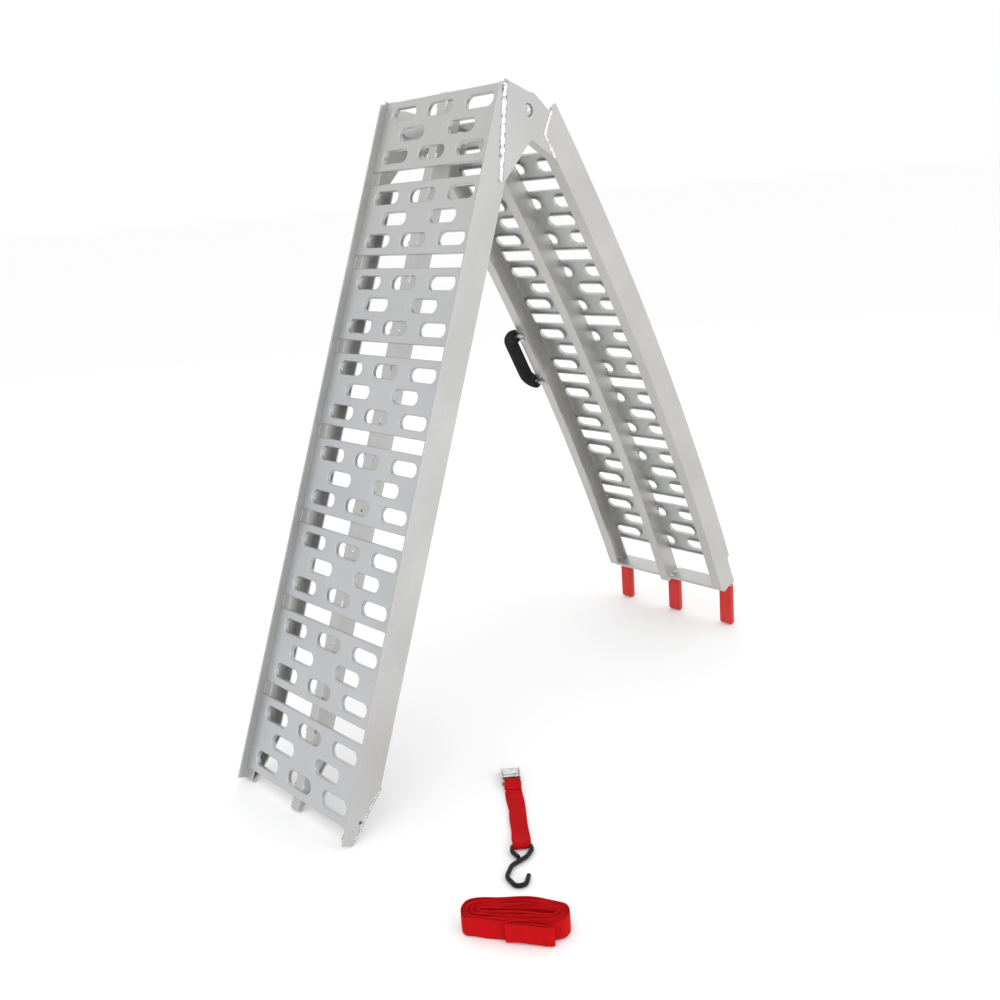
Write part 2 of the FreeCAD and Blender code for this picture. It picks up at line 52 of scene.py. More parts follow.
# The two halves: tread angle from the vertical, and the hinge pin's depth below the tread
groundHalf = {"side": -1, "lean": 21.94, "arch": None, "halfWidth": 0.1425}
upperHalf = {"side": 1, "lean": 33.41, "arch": 4.785, "halfWidth": 0.142}
pivotDepth = 0.0515
treadSet = {"pitch": 0.144, "length": 0.122}
endBarSet = {"inner": 1.0748, "outer": 1.0815, "top": -0.004, "bottom": -0.027}


def onHalf(half, s, y, n):
    # s runs down the tread from the hinge, y along the pin, n up out of the tread
    if half["arch"]:
        turn = s / half["arch"]
        x = (half["arch"] + n) * math.sin(turn)
        z = (half["arch"] + n) * math.cos(turn) - half["arch"] + pivotDepth
    else:
        x, z = half["side"] * s, n + pivotDepth
    spin = Matrix.Rotation(math.radians(half["side"] * (90 - half["lean"])), 3, 'Y')
    return hinge + spin @ Vector((x, y, z))


# ---- camera, lights and floor
cameraSet = {"place": (-1.24791, -1.29079, 0.89746), "turn": (78.046, 4.55, -42.425), "lens": 37.54,
             "shift": (0.0556, -0.0775)}


def makeCamera():
    bpy.ops.object.camera_add(location=cameraSet["place"], rotation=[math.radians(a) for a in cameraSet["turn"]])
    camera = bpy.context.object
    camera.name = "productCamera"
    camera.data.lens = cameraSet["lens"]
    camera.data.sensor_width = 36
    camera.data.shift_x, camera.data.shift_y = cameraSet["shift"]
    camera.data.clip_end = 900
    bpy.context.scene.camera = camera


lightSet = {
    "keyLight": {"place": (-2.6, -1.6, 3.2), "size": 2.6, "power": 20},
    "sideLight": {"place": (1.4, -3.4, 1.8), "size": 2.4, "power": 12},
    "underLight": {"place": (-0.5, -2.2, 0.30), "size": 1.2, "power": 12},
    "backLight": {"place": (2.4, 2.2, 2.6), "size": 2.6, "power": 12},
}


def makeLights():
    for name, item in lightSet.items():
        aim = Vector((0.0, 0.0, 0.5)) - Vector(item["place"])
        facing = aim.to_track_quat('-Z', 'Y').to_euler()
        bpy.ops.object.light_add(type='AREA', location=item["place"], rotation=facing)
        light = bpy.context.object
        light.name = name
        light.data.size = item["size"]
        light.data.energy = item["power"]
    world = bpy.data.worlds.new("softRoom")
    bpy.context.scene.world = world
    world.use_nodes = True
    background = world.node_tree.nodes["Background"]
    background.inputs["Color"].default_value = (1.0, 1.0, 1.0, 1)
    background.inputs["Strength"].default_value = 1.0
    bpy.context.scene.view_settings.view_transform = 'Standard'


def makeFloor():
    bpy.ops.object.select_all(action='DESELECT')
    bpy.ops.mesh.primitive_plane_add(size=1200, location=(0, 0, -0.0005))
    floor = bpy.context.object
    floor.name = "paleFloor"
    floor.data.materials.append(floorPaint())


# ---- materials
def newMaterial(name):
    material = bpy.data.materials.new(name)
    material.use_nodes = True
    tree = material.node_tree
    return material, tree, tree.nodes["Principled BSDF"]


def addNode(tree, kind, inputs=None, **settings):
    node = tree.nodes.new(kind)
    for key, value in settings.items():
        setattr(node, key, value)
    for key, value in (inputs or {}).items():
        if isinstance(value, bpy.types.NodeSocket):
            tree.links.new(value, node.inputs[key])
        else:
            node.inputs[key].default_value = value
    return node


def objectPlace(tree, scale=(1, 1, 1), turn=(0, 0, 0), output="Object"):
    source = addNode(tree, "ShaderNodeTexCoord").outputs[output]
    mapping = addNode(tree, "ShaderNodeMapping", {"Vector": source})
    mapping.inputs["Scale"].default_value = scale
    mapping.inputs["Rotation"].default_value = [math.radians(a) for a in turn]
    return mapping.outputs["Vector"]


def ramp(tree, factor, stops):
    node = addNode(tree, "ShaderNodeValToRGB", {"Fac": factor})
    node.color_ramp.elements[0].position, node.color_ramp.elements[0].color = stops[0][0], (*stops[0][1], 1)
    node.color_ramp.elements[1].position, node.color_ramp.elements[1].color = stops[-1][0], (*stops[-1][1], 1)
    for position, colour in stops[1:-1]:
        node.color_ramp.elements.new(position).color = (*colour, 1)
    return node.outputs["Color"]


def span(tree, factor, low, high):
    return addNode(tree, "ShaderNodeMapRange", {"Value": factor, "To Min": low, "To Max": high}).outputs["Result"]


def bump(tree, shader, height, strength, distance):
    node = addNode(tree, "ShaderNodeBump", {"Height": height, "Strength": strength, "Distance": distance})
    tree.links.new(node.outputs["Normal"], shader.inputs["Normal"])


def floorPaint():
    material, _, shader = newMaterial("whiteSweep")
    shader.inputs["Base Color"].default_value = (0.98, 0.98, 0.98, 1)
    shader.inputs["Roughness"].default_value = 0.9
    return material


def millAluminium(name, light, dark, turn, gloss, top=None):
    # drawn or rolled aluminium: fine streaks along the stock, soft cloudiness and small scuffs
    material, tree, shader = newMaterial(name)
    streaks = addNode(tree, "ShaderNodeTexNoise", {"Vector": objectPlace(tree, (900, 900, 5), turn),
                                                   "Scale": 1.0, "Detail": 3.0})
    clouds = addNode(tree, "ShaderNodeTexNoise", {"Vector": objectPlace(tree), "Scale": 7.0, "Detail": 4.0})
    scuffs = addNode(tree, "ShaderNodeTexNoise", {"Vector": objectPlace(tree, (60, 260, 60), turn),
                                                  "Scale": 1.0, "Detail": 6.0, "Roughness": 0.7})
    tone = ramp(tree, clouds.outputs["Fac"], [(0.3, dark), (0.7, light)])
    if top:
        # the metal nearest the hinge picks up more of the room's warm light
        height = addNode(tree, "ShaderNodeSeparateXYZ", {"Vector": objectPlace(tree)}).outputs["Z"]
        rise = span(tree, height, 0.0, 1.0)
        tree.nodes[-1].inputs["From Min"].default_value = 0.55
        tone = addNode(tree, "ShaderNodeMix", {"Factor": rise, 6: tone, 7: (*top, 1)}, data_type='RGBA').outputs[2]
    scuffMask = ramp(tree, scuffs.outputs["Fac"], [(0.62, (0, 0, 0)), (0.72, (1, 1, 1))])
    mixed = addNode(tree, "ShaderNodeMix", {"Factor": scuffMask, 6: tone, 7: (*[c * 1.07 for c in light], 1)},
                    data_type='RGBA')
    tree.links.new(mixed.outputs[2], shader.inputs["Base Color"])
    tree.links.new(span(tree, streaks.outputs["Fac"], gloss - 0.08, gloss + 0.1), shader.inputs["Roughness"])
    shader.inputs["Metallic"].default_value = 0.75
    bump(tree, shader, streaks.outputs["Fac"], 0.08, 0.0004)
    return material


def weldMetal():
    material, tree, shader = newMaterial("brightWeld")
    grain = addNode(tree, "ShaderNodeTexNoise", {"Vector": objectPlace(tree), "Scale": 420.0, "Detail": 3.0})
    soot = addNode(tree, "ShaderNodeTexNoise", {"Vector": objectPlace(tree), "Scale": 130.0, "Detail": 2.0})
    colour = ramp(tree, soot.outputs["Fac"], [(0.3, (0.12, 0.11, 0.13)), (0.42, (0.62, 0.61, 0.66)),
                                              (0.6, (0.9, 0.9, 0.93))])
    tree.links.new(colour, shader.inputs["Base Color"])
    tree.links.new(span(tree, grain.outputs["Fac"], 0.12, 0.4), shader.inputs["Roughness"])
    shader.inputs["Metallic"].default_value = 0.95
    bump(tree, shader, grain.outputs["Fac"], 0.35, 0.0006)
    return material


def zincPlate():
    material, tree, shader = newMaterial("zincPlate")
    spangle = addNode(tree, "ShaderNodeTexVoronoi", {"Vector": objectPlace(tree), "Scale": 260.0})
    colour = ramp(tree, spangle.outputs["Distance"], [(0.0, (0.42, 0.43, 0.45)), (1.0, (0.66, 0.67, 0.68))])
    tree.links.new(colour, shader.inputs["Base Color"])
    tree.links.new(span(tree, spangle.outputs["Distance"], 0.25, 0.45), shader.inputs["Roughness"])
    shader.inputs["Metallic"].default_value = 1.0
    return material


def dippedVinyl():
    material, tree, shader = newMaterial("redDip")
    runs = addNode(tree, "ShaderNodeTexNoise", {"Vector": objectPlace(tree, (90, 90, 25)), "Scale": 1.0,
                                                "Detail": 3.0})
    pores = addNode(tree, "ShaderNodeTexNoise", {"Vector": objectPlace(tree), "Scale": 900.0, "Detail": 1.0})
    colour = ramp(tree, runs.outputs["Fac"], [(0.3, (0.50, 0.018, 0.014)), (0.7, (0.60, 0.030, 0.024))])
    tree.links.new(colour, shader.inputs["Base Color"])
    tree.links.new(span(tree, runs.outputs["Fac"], 0.36, 0.55), shader.inputs["Roughness"])
    shader.inputs["Specular IOR Level"].default_value = 0.35
    bump(tree, shader, pores.outputs["Fac"], 0.15, 0.0004)
    return material


def foamRubber():
    material, tree, shader = newMaterial("blackFoam")
    cells = addNode(tree, "ShaderNodeTexVoronoi", {"Vector": objectPlace(tree), "Scale": 900.0})
    cloud = addNode(tree, "ShaderNodeTexNoise", {"Vector": objectPlace(tree), "Scale": 60.0, "Detail": 3.0})
    colour = ramp(tree, cloud.outputs["Fac"], [(0.3, (0.005, 0.005, 0.006)), (0.75, (0.016, 0.016, 0.017))])
    tree.links.new(colour, shader.inputs["Base Color"])
    shader.inputs["Roughness"].default_value = 0.82
    shader.inputs["Specular IOR Level"].default_value = 0.25
    bump(tree, shader, cells.outputs["Distance"], 0.5, 0.0005)
    return material


def buckleSteel():
    material, tree, shader = newMaterial("buckleSteel")
    wear = addNode(tree, "ShaderNodeTexNoise", {"Vector": objectPlace(tree), "Scale": 240.0, "Detail": 4.0})
    colour = ramp(tree, wear.outputs["Fac"], [(0.3, (0.38, 0.38, 0.38)), (0.7, (0.60, 0.60, 0.58))])
    tree.links.new(colour, shader.inputs["Base Color"])
    tree.links.new(span(tree, wear.outputs["Fac"], 0.12, 0.32), shader.inputs["Roughness"])
    shader.inputs["Metallic"].default_value = 1.0
    return material


def blackCoating():
    material, tree, shader = newMaterial("blackCoating")
    grain = addNode(tree, "ShaderNodeTexNoise", {"Vector": objectPlace(tree), "Scale": 300.0, "Detail": 2.0})
    colour = ramp(tree, grain.outputs["Fac"], [(0.3, (0.004, 0.004, 0.004)), (0.7, (0.010, 0.010, 0.010))])
    tree.links.new(colour, shader.inputs["Base Color"])
    tree.links.new(span(tree, grain.outputs["Fac"], 0.34, 0.5), shader.inputs["Roughness"])
    shader.inputs["Specular IOR Level"].default_value = 0.22
    bump(tree, shader, grain.outputs["Fac"], 0.1, 0.0003)
    return material


def redWebbing():
    # woven polyester: a chevron of ribs across the width, read from the webbing's own UV map
    material, tree, shader = newMaterial("redWebbing")
    place = objectPlace(tree, (1, 1, 1), output="UV")
    split = addNode(tree, "ShaderNodeSeparateXYZ", {"Vector": place})
    fold = addNode(tree, "ShaderNodeMath", {0: split.outputs["Y"]}, operation='PINGPONG')
    fold.inputs[1].default_value = 0.0031
    slant = addNode(tree, "ShaderNodeMath", {0: split.outputs["X"], 1: fold.outputs[0]}, operation='ADD')
    twill = addNode(tree, "ShaderNodeMath", {0: slant.outputs[0]}, operation='MULTIPLY')
    twill.inputs[1].default_value = 2 * math.pi / 0.0016
    ribs = addNode(tree, "ShaderNodeMath", {0: twill.outputs[0]}, operation='SINE')
    thread = addNode(tree, "ShaderNodeMath", {0: split.outputs["Y"]}, operation='MULTIPLY')
    thread.inputs[1].default_value = 2 * math.pi / 0.0012
    threads = addNode(tree, "ShaderNodeMath", {0: thread.outputs[0]}, operation='SINE')
    weave = addNode(tree, "ShaderNodeMath", {0: ribs.outputs[0], 1: threads.outputs[0]}, operation='ADD')
    cloud = addNode(tree, "ShaderNodeTexNoise", {"Vector": objectPlace(tree), "Scale": 70.0, "Detail": 4.0})
    shade = span(tree, weave.outputs[0], 0.35, 0.65)
    tree.nodes[-1].inputs["From Min"].default_value = -2.0
    tree.nodes[-1].inputs["From Max"].default_value = 2.0
    base = ramp(tree, shade, [(0.3, (0.42, 0.001, 0.003)), (0.7, (0.70, 0.003, 0.007))])
    dust = ramp(tree, cloud.outputs["Fac"], [(0.3, (0.82, 0.82, 0.82)), (0.7, (1, 1, 1))])
    mixed = addNode(tree, "ShaderNodeMix", {"Factor": 1.0, 6: base, 7: dust}, data_type='RGBA', blend_type='MULTIPLY')
    tree.links.new(mixed.outputs[2], shader.inputs["Base Color"])
    shader.inputs["Roughness"].default_value = 0.85
    shader.inputs["Specular IOR Level"].default_value = 0.12
    bump(tree, shader, weave.outputs[0], 0.5, 0.0003)
    return material


groundTurn = (0, groundHalf["lean"], 0)
upperTurn = (0, -upperHalf["lean"] + 6, 0)
finishes = {
    "groundRail": millAluminium("groundRailMetal", (0.52, 0.52, 0.51), (0.455, 0.46, 0.45), groundTurn, 0.42),
    "groundTread": millAluminium("groundTreadMetal", (0.54, 0.55, 0.565), (0.47, 0.485, 0.50), groundTurn, 0.38,
                                 (0.50, 0.50, 0.49)),
    "upperRail": millAluminium("upperRailMetal", (0.54, 0.53, 0.51), (0.47, 0.465, 0.45), upperTurn, 0.42),
    "upperTread": millAluminium("upperTreadMetal", (0.52, 0.54, 0.52), (0.46, 0.48, 0.46), upperTurn, 0.40),
    "weld": weldMetal(), "zinc": zincPlate(), "dip": dippedVinyl(), "foam": foamRubber(),
    "buckle": buckleSteel(), "coating": blackCoating(), "webbing": redWebbing(),
}
makeCamera()
makeLights()
makeFloor()
print("camera, lights, floor and materials ready")


def finishFor(name):
    if "tread" in name:
        return finishes["groundTread" if name.startswith("ground") else "upperTread"]
    if "weld" in name:
        return finishes["weld"]
    if name.startswith(("ground", "foot")):
        return finishes["groundRail"]
    if name.startswith("finger_dip"):
        return finishes["dip"]
    if name.startswith(("hinge_pin", "finger", "handle_bar", "handle_screw")):
        return finishes["zinc"]
    if name.startswith("handle_grip"):
        return finishes["foam"]
    if name.startswith("buckle"):
        return finishes["buckle"]
    if name.startswith("s_hook"):
        return finishes["coating"]
    if "webbing" in name:
        return finishes["webbing"]
    return finishes["upperRail"]


for nodeName in frame["nodes"]:
    node = bpy.data.objects[nodeName]
    for slot in node.material_slots:
        slot.material = finishFor(nodeName)
print("frame pieces painted")

# ---- shared modelling steps
def finishedPiece(piece, name, body, finish, smoothAngle=40):
    # puts a modelled piece's place into its mesh and hands it to its body
    bpy.ops.object.select_all(action='DESELECT')
    piece.select_set(True)
    bpy.context.view_layer.objects.active = piece
    bpy.ops.object.transform_apply(location=True, rotation=True, scale=True)
    bpy.ops.object.shade_smooth_by_angle(angle=math.radians(smoothAngle))
    piece.name = name
    piece.data.name = name
    piece.data.materials.clear()
    piece.data.materials.append(finish)
    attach(piece, body)
    return piece


def applyModifier(piece, kind, **settings):
    modifier = piece.modifiers.new(kind.title(), kind)
    for key, value in settings.items():
        setattr(modifier, key, value)
    bpy.ops.object.select_all(action='DESELECT')
    piece.select_set(True)
    bpy.context.view_layer.objects.active = piece
    bpy.ops.object.modifier_apply(modifier=modifier.name)


def joined(pieces):
    bpy.ops.object.select_all(action='DESELECT')
    for piece in pieces:
        piece.select_set(True)
    bpy.context.view_layer.objects.active = pieces[0]
    bpy.ops.object.join()
    return pieces[0]


def smoothLine(points, perRun=8):
    # the points of a smooth line drawn through a NURBS cage
    curve = bpy.data.curves.new("line", 'CURVE')
    curve.dimensions = '3D'
    curve.resolution_u = perRun
    spline = curve.splines.new('NURBS')
    spline.points.add(len(points) - 1)
    for target, point in zip(spline.points, points):
        target.co = (*point, 1)
    spline.order_u = 3
    spline.use_endpoint_u = True
    holder = bpy.data.objects.new("line", curve)
    mesh = bpy.data.meshes.new_from_object(holder)
    line = [vertex.co.copy() for vertex in mesh.vertices]
    bpy.data.objects.remove(holder)
    bpy.data.curves.remove(curve)
    bpy.data.meshes.remove(mesh)
    return line


def lineLength(line):
    return sum((b - a).length for a, b in zip(line, line[1:]))


# ---- weld beads
weldSet = {"step": 0.0036, "flat": 0.6, "jitter": 0.16}


def weldDrop():
    # one ripple of a bead, a flattened lens that the others lean on
    bpy.ops.object.select_all(action='DESELECT')
    bpy.ops.mesh.primitive_uv_sphere_add(segments=12, ring_count=6, radius=1)
    drop = bpy.context.object
    bpy.ops.object.mode_set(mode='EDIT')
    bpy.ops.transform.resize(value=(0.55, 1, 1))
    bpy.ops.object.mode_set(mode='OBJECT')
    return drop


def weldRun(master, start, end, outward, radius, seed):
    # ripples set close together from start to end, standing out along outward
    rng = random.Random(seed)
    along = (end - start).normalized()
    across = outward.cross(along).normalized()
    count = max(2, round((end - start).length / weldSet["step"]))
    drops = []
    for i in range(count + 1):
        drop = master.copy()
        drop.data = master.data.copy()
        bpy.context.collection.objects.link(drop)
        size = radius * (1 + rng.uniform(-1, 1) * weldSet["jitter"])
        shape = Matrix((along * size, across * size, outward * size * weldSet["flat"])).transposed().to_4x4()
        wander = across * rng.uniform(-0.1, 0.1) * radius
        drop.data.transform(Matrix.Translation(start.lerp(end, i / count) + wander) @ shape)
        drops.append(drop)
    return drops


def fusedWeld(drops, name, body, voxel):
    bead = joined(drops)
    applyModifier(bead, 'REMESH', mode='VOXEL', voxel_size=voxel)
    return finishedPiece(bead, name, body, finishes["weld"], 60)


hingeBeadSet = {
    "ground": {"path": ((-0.019, 0.0015), (0.119, -0.0300)), "out": 0.1432, "radius": 0.0060, "voxel": 0.0007},
    "upper": {"path": ((0.0335, -0.005), (0.0525, -0.0375), (0.0930, -0.0397)), "out": 0.1422, "radius": 0.0036,
              "voxel": 0.0006},
}


def hingeBead(master, half, label, body, side, seed):
    # one bead through its (s, n) path, on the near side when side is -1 and the far one when it is 1
    item = hingeBeadSet[label]
    turns = [onHalf(half, s, side * item["out"], n) for s, n in item["path"]]
    drops = []
    for start, end in zip(turns, turns[1:]):
        drops += weldRun(master, start, end, Vector((0, side, 0)), item["radius"], seed + len(drops))
    return fusedWeld(drops, label + "HingeBead_" + ("near" if side < 0 else "far"), body, item["voxel"])


def hingeWelds():
    # the upright bead on each ground rail, and the bead round each upper plate's joint with its rail
    master = weldDrop()
    for number, side in enumerate((-1, 1)):
        bead = hingeBead(master, groundHalf, "ground", "ground_half", side, 11 + number)
        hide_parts("ground_hinge_welds")
        bead = hingeBead(master, upperHalf, "upper", "upper_half", side, 21 + number)
        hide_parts("upper_hinge_welds")
    bpy.data.objects.remove(master)


stitchSet = {"length": 0.010, "radius": 0.0026, "inset": 0.016, "ledge": 0.0203, "stringer": 0.0103, "n": -0.0038}


def stitchWelds(half, label, body, count, start):
    # short welds under each tread, against both ledges and both sides of the stringer
    master = weldDrop()
    drops = []
    for i in range(count):
        for atEnd in (0, 1):
            inset = treadSet["length"] - stitchSet["inset"] if atEnd else stitchSet["inset"]
            s = start + i * treadSet["pitch"] + inset
            ledge = half["halfWidth"] - stitchSet["ledge"]
            for number, y in enumerate((-ledge, -stitchSet["stringer"], stitchSet["stringer"], ledge)):
                a = onHalf(half, s - stitchSet["length"] / 2, y, stitchSet["n"])
                b = onHalf(half, s + stitchSet["length"] / 2, y, stitchSet["n"])
                downward = (onHalf(half, s, y, -0.1) - onHalf(half, s, y, 0)).normalized()
                drops += weldRun(master, a, b, downward, stitchSet["radius"], i * 10 + number + atEnd * 5)
    bpy.data.objects.remove(master)
    finishedPiece(joined(drops), label + "StitchWelds", body, finishes["weld"], 60)


endWeldSet = {"rail": 0.1382, "stringer": 0.0108, "radius": 0.003, "fingerRadius": 0.0028, "fingerInset": 0.001,
              "fingerLow": -0.0072, "fingerHigh": 0.0022}


def endWelds():
    # fillets where the end bars meet the rails, the stringer and the fingers
    master = weldDrop()
    drops = []
    rail, stringer = endWeldSet["rail"], endWeldSet["stringer"]
    for number, y in enumerate((-rail, -stringer, stringer, rail)):
        a = onHalf(upperHalf, endBarSet["inner"], y, endBarSet["top"])
        b = onHalf(upperHalf, endBarSet["inner"], y, endBarSet["bottom"])
        towardsHinge = (onHalf(upperHalf, 1.0, y, 0) - a).normalized()
        drops += weldRun(master, a, b, towardsHinge, endWeldSet["radius"], 40 + number)
    for number, side in enumerate(("near", "middle", "far")):
        low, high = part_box("finger_dip_" + side)
        for edge in (low[1] + endWeldSet["fingerInset"], high[1] - endWeldSet["fingerInset"]):
            a = onHalf(upperHalf, endBarSet["outer"], 0, endWeldSet["fingerLow"])
            b = onHalf(upperHalf, endBarSet["outer"], 0, endWeldSet["fingerHigh"])
            a.y = b.y = edge
            drops += weldRun(master, a, b, Vector((0, 0, -1)), endWeldSet["fingerRadius"], 50 + number)
    bpy.data.objects.remove(master)
    finishedPiece(joined(drops), "endBarWelds", "upper_half", finishes["weld"], 60)


footWeldSet = {"start": 1.039, "run": 0.082, "depth": -0.039, "rise": 0.0345, "length": 0.0074, "slant": 0.0033,
               "radius": 0.0026, "shares": (0.08, 0.27, 0.46, 0.65, 0.84)}


def footWelds():
    # short tacks that hold the foot plates, along the foot's rising edge on both rails
    master = weldDrop()
    drops = []
    for number, share in enumerate(footWeldSet["shares"]):
        for side in (-1, 1):
            s = footWeldSet["start"] + footWeldSet["run"] * share
            n = footWeldSet["depth"] + footWeldSet["rise"] * share
            y = side * (groundHalf["halfWidth"] - 0.0003)
            a = onHalf(groundHalf, s, y, n + 0.0002)
            b = onHalf(groundHalf, s + footWeldSet["length"], y, n + footWeldSet["slant"])
            drops += weldRun(master, a, b, Vector((0, side, 0)), footWeldSet["radius"], 70 + number)
    bpy.data.objects.remove(master)
    finishedPiece(joined(drops), "footWelds", "ground_half", finishes["weld"], 60)


# ---- red dip on the fingers
dipSet = {"chamfer": 0.0055, "edge": 0.0018, "topDepth": -0.002}


def fingerDips():
    # the fingers hang upright, and their tops are cut along the end bars' outer face
    tilt = math.radians(upperHalf["lean"]) - endBarSet["outer"] / upperHalf["arch"]
    for side in ("near", "middle", "far"):
        low, high = (Vector(corner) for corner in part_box("finger_dip_" + side))
        bpy.ops.object.select_all(action='DESELECT')
        bpy.ops.mesh.primitive_cube_add(size=1, location=(low + high) / 2, scale=high - low)
        dip = bpy.context.object
        bpy.ops.object.transform_apply(location=True, rotation=False, scale=True)
        bpy.ops.object.mode_set(mode='EDIT')
        bpy.ops.mesh.select_all(action='SELECT')
        top = onHalf(upperHalf, endBarSet["outer"], 0, dipSet["topDepth"])
        upwards = (-math.sin(tilt), 0, math.cos(tilt))
        bpy.ops.mesh.bisect(plane_co=top, plane_no=upwards, clear_outer=True, use_fill=True)
        bpy.ops.mesh.select_all(action='DESELECT')
        bpy.ops.object.mode_set(mode='OBJECT')
        for edge in dip.data.edges:
            ends = [dip.data.vertices[v].co for v in edge.vertices]
            edge.select = all(e.z < low.z + 0.001 for e in ends) and abs(ends[0].y - ends[1].y) < 0.001
        bpy.ops.object.mode_set(mode='EDIT')
        bpy.ops.mesh.bevel(offset=dipSet["chamfer"], segments=3)
        bpy.ops.object.mode_set(mode='OBJECT')
        applyModifier(dip, 'BEVEL', width=dipSet["edge"], segments=4, limit_method='ANGLE',
                      angle_limit=math.radians(35))
        finishedPiece(dip, "fingerDip_" + side, "upper_half", finishes["dip"])
        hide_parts("finger_dip_" + side)


# ---- foam carrying grip
gripSet = {"s": 0.522, "n": -0.0465, "reach": 0.0235, "radius": 0.0132, "halfSpan": 0.056, "shoulder": 0.022}


def foamGrip():
    # a foam sleeve bent into a shallow bow, its two ends flat against the rail's outer face
    reach, span, shoulder = gripSet["reach"], gripSet["halfSpan"], gripSet["shoulder"]
    side = [(span, -0.006), (span, 0.004), (span - 0.002, 0.012), (span - shoulder / 2, reach - 0.001),
            (span - shoulder, reach), (0.012, reach)]
    points = []
    for along, out in [(-along, out) for along, out in side] + side[::-1]:
        points.append(onHalf(upperHalf, gripSet["s"] + along, upperHalf["halfWidth"] + out, gripSet["n"]))
    line = smoothLine(points, 6)
    curve = bpy.data.curves.new("gripLine", 'CURVE')
    curve.dimensions = '3D'
    spline = curve.splines.new('POLY')
    spline.points.add(len(line) - 1)
    for target, point in zip(spline.points, line):
        target.co = (*point, 1)
    curve.bevel_depth = gripSet["radius"]
    curve.bevel_resolution = 8
    curve.use_fill_caps = True
    grip = bpy.data.objects.new("foamGrip", curve)
    bpy.context.collection.objects.link(grip)
    bpy.ops.object.select_all(action='DESELECT')
    grip.select_set(True)
    bpy.context.view_layer.objects.active = grip
    bpy.ops.object.convert(target='MESH')
    applyModifier(grip, 'REMESH', mode='VOXEL', voxel_size=0.0011)
    applyModifier(grip, 'SMOOTH', factor=0.5, iterations=6)
    bpy.ops.object.mode_set(mode='EDIT')
    bpy.ops.mesh.select_all(action='SELECT')
    railFace = onHalf(upperHalf, gripSet["s"], upperHalf["halfWidth"] + 0.0003, 0)
    bpy.ops.mesh.bisect(plane_co=railFace, plane_no=(0, 1, 0), clear_inner=True, use_fill=True)
    bpy.ops.object.mode_set(mode='OBJECT')
    finishedPiece(grip, "foamGrip", "upper_half", finishes["foam"], 60)
    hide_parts("handle_grip")


# ---- red webbing
webbingSet = {"width": 0.025, "ply": 0.0015}


def makeRibbon(line, across, steps, ripple, seed, sway=0.0):
    # a strip of webbing along the line, standing across it, with a slight ripple in its surface
    total = lineLength(line)
    bpy.ops.object.select_all(action='DESELECT')
    bpy.ops.mesh.primitive_grid_add(x_subdivisions=steps, y_subdivisions=6, size=1)
    strip = bpy.context.object
    stations = [0.0]
    for a, b in zip(line, line[1:]):
        stations.append(stations[-1] + (b - a).length)
    spot = 0
    phase = random.Random(seed).uniform(0, 6)
    for vertex in sorted(strip.data.vertices, key=lambda v: v.co.x):
        reached = min(max((vertex.co.x + 0.5) * total, 0), total)
        while spot < len(stations) - 2 and stations[spot + 1] < reached:
            spot += 1
        share = (reached - stations[spot]) / max(stations[spot + 1] - stations[spot], 1e-9)
        heading = (line[spot + 1] - line[spot]).normalized()
        level = heading.cross(across)
        wave = ripple * math.sin(reached / 0.017 + phase) * math.sin(vertex.co.y * 5 + reached / 0.05)
        edge = 0.0006 * math.sin(reached / 0.011 + phase * 2)
        middle = line[spot].lerp(line[spot + 1], share) + across * sway * abs(math.sin(2 * math.pi * reached / total))
        vertex.co = middle + across * (vertex.co.y * webbingSet["width"] + edge) + level * wave
    for loop in strip.data.uv_layers[0].data:
        loop.uv = (loop.uv.x * total, loop.uv.y * webbingSet["width"])
    applyModifier(strip, 'SOLIDIFY', thickness=webbingSet["ply"], offset=0)
    return strip, total


strapSet = {"heading": 48.65, "bar": -0.0365, "eye": (-0.203, 0.0052)}


def strapWebbing():
    # two plies from the hook's eye to the buckle's bar, sewn back on themselves
    axle = Vector(next(j for j in frame["joints"] if j["name"] == "buckle_cam")["pos_m"])
    turn = Matrix.Rotation(math.radians(strapSet["heading"]), 3, 'Z')
    origin = Vector((axle.x, axle.y, 0)) + turn @ Vector((0.025, 0, 0))
    barX = strapSet["bar"]
    eyeX, eyeZ = strapSet["eye"]
    profile = [(barX - 0.024, 0.0010), (-0.11, 0.0011), (-0.15, 0.0010),
               (eyeX + 0.014, 0.0010), (eyeX + 0.003, 0.0009),
               (eyeX - 0.0046, 0.0012), (eyeX - 0.0050, eyeZ + 0.0042), (eyeX + 0.003, eyeZ + 0.0046),
               (eyeX + 0.013, 0.0052), (eyeX + 0.024, 0.0029), (-0.15, 0.0032), (-0.10, 0.0027),
               (barX - 0.026, 0.0027), (barX - 0.012, 0.0026), (barX - 0.001, 0.0016), (barX + 0.0038, 0.0024),
               (barX + 0.0036, 0.0078), (barX - 0.004, 0.0080), (barX - 0.012, 0.0054), (barX - 0.022, 0.0044)]
    line = smoothLine([Vector((x, 0, z)) for x, z in profile], 10)
    strip, total = makeRibbon(line, Vector((0, -1, 0)), 260, 0.00022, 3, 0.0022)
    strip.data.transform(Matrix.Translation(origin) @ turn.to_4x4())
    finishedPiece(strip, "strapWebbing", "strap", finishes["webbing"], 50)
    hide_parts("strap_webbing")


leverSet = {"halfWidth": 0.0128, "lip": 0.0016, "reach": 0.0172, "hub": 0.0042}


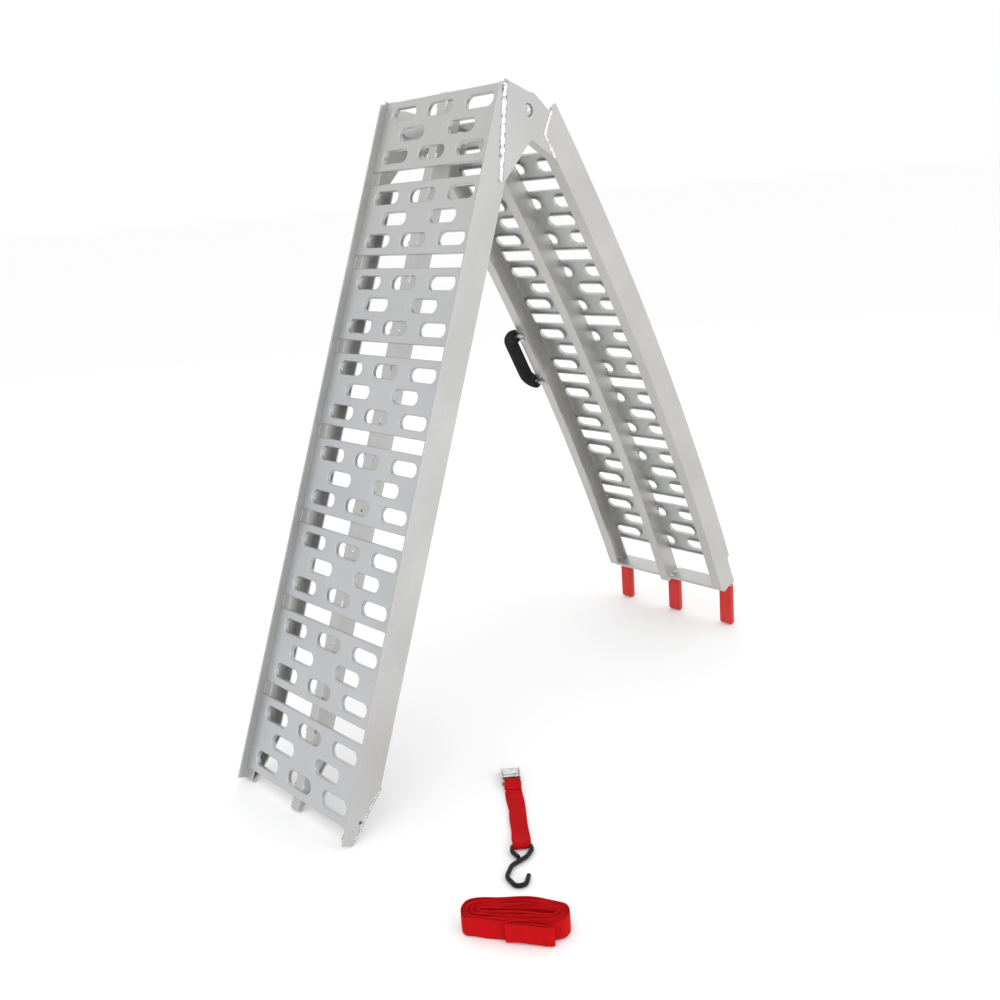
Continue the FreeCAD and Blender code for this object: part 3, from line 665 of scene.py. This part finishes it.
def buckleLever():
    # bent from sheet: a hub round the axle, a flat thumb plate and a rolled front edge
    axle = Vector(next(j for j in frame["joints"] if j["name"] == "buckle_cam")["pos_m"])
    hub, reach, lip = (leverSet[key] for key in ("hub", "reach", "lip"))
    outline = [(hub * math.cos(math.radians(a)), hub * math.sin(math.radians(a))) for a in range(80, 331, 25)]
    outline += [(0.0062, -0.0002), (0.0105, 0.0004), (reach - 0.002, 0.0010), (reach - 0.0002, 0.0008),
                (reach + lip * 0.6, 0.0016), (reach + lip * 0.6, 0.0029), (reach - 0.0002, 0.0037),
                (reach - 0.002, 0.0034), (0.0105, 0.0034), (0.0062, 0.0040)]
    mesh = bpy.data.meshes.new("buckleLever")
    mesh.from_pydata([(x, -leverSet["halfWidth"], z) for x, z in outline], [], [list(range(len(outline)))])
    lever = bpy.data.objects.new("buckleLever", mesh)
    bpy.context.collection.objects.link(lever)
    bpy.ops.object.select_all(action='DESELECT')
    lever.select_set(True)
    bpy.context.view_layer.objects.active = lever
    bpy.ops.object.mode_set(mode='EDIT')
    bpy.ops.mesh.select_all(action='SELECT')
    bpy.ops.mesh.extrude_region_move(TRANSFORM_OT_translate={"value": (0, 2 * leverSet["halfWidth"], 0)})
    bpy.ops.mesh.select_all(action='SELECT')
    bpy.ops.mesh.normals_make_consistent(inside=False)
    bpy.ops.object.mode_set(mode='OBJECT')
    applyModifier(lever, 'BEVEL', width=0.0004, segments=2, limit_method='ANGLE', angle_limit=math.radians(60))
    turn = Matrix.Rotation(math.radians(strapSet["heading"]), 4, 'Z')
    lever.data.transform(Matrix.Translation(axle) @ turn)
    finishedPiece(lever, "buckleLever", "buckle_lever", finishes["buckle"])
    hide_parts("buckle_lever")


bundleSet = {"heading": -52.4, "halfRun": 0.0450, "slit": 0.0034, "closed": 0.0014, "outer": 0.0240,
             "steps": 232, "perTurn": 24,
             "end": [(0.004, -0.0262), (0.030, -0.0278), (0.0492, -0.0286), (0.0512, -0.0300), (0.0492, -0.0314),
                     (0.030, -0.0308), (0.004, -0.0292), (-0.010, -0.0284)]}


def spareWebbing():
    # one long strip wound into a flat oval that stands on its edges, its free end doubled back in front
    low, high = (Vector(corner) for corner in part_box("spare_webbing"))
    rng = random.Random(8)
    run, outer, steps, perTurn = (bundleSet[key] for key in ("halfRun", "outer", "steps", "perTurn"))
    cage = []
    for step in range(steps):
        share = step / steps
        angle = 2 * math.pi * step / perTurn
        side = math.cos(angle)
        x = run * max(-1, min(1, side * 1.6))
        opened = min(1, max(0, (x + 0.004) / 0.016))
        core = bundleSet["closed"] + (bundleSet["slit"] - bundleSet["closed"]) * opened
        radius = core + (outer - core) * share
        cage.append((x + radius * side, radius * math.sin(angle) + rng.uniform(-0.0002, 0.0002), share))
    lastX, lastY = cage[-1][:2]
    cage += [(x, y, 1) for x, y in [(lastX + 0.012, lastY - 0.0010)] + bundleSet["end"]]
    points = []
    for x, y, share in cage:
        slack = 0.0016 * math.sin(x / 0.026 + 0.9) + 0.0007 * math.sin(x / 0.009)
        points.append(Vector((x, y + 0.0025 + slack, 0.0007 * math.sin(share * 41) + 0.0005 * math.sin(x / 0.021))))
    line = smoothLine(points, 5)
    strip, total = makeRibbon(line, Vector((0, 0, 1)), 1000, 0.0002, 5)
    place = Vector(((low.x + high.x) / 2, (low.y + high.y) / 2, 0))
    turn = Matrix.Rotation(math.radians(bundleSet["heading"]), 4, 'Z')
    strip.data.transform(Matrix.Translation(place) @ turn)
    bottom = min(vertex.co.z for vertex in strip.data.vertices)
    strip.data.transform(Matrix.Translation((0, 0, 0.0002 - bottom)))
    finishedPiece(strip, "spareWebbing", "spare_webbing", finishes["webbing"], 50)
    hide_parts("spare_webbing")


hingeWelds()
stitchWelds(groundHalf, "ground", "ground_half", 8, -0.0265)
stitchWelds(upperHalf, "upper", "upper_half", 7, 0.0306)
endWelds()
footWelds()
print("welds made")
fingerDips()
foamGrip()
print("fingers and grip made")
strapWebbing()
buckleLever()
spareWebbing()
print("webbing made")
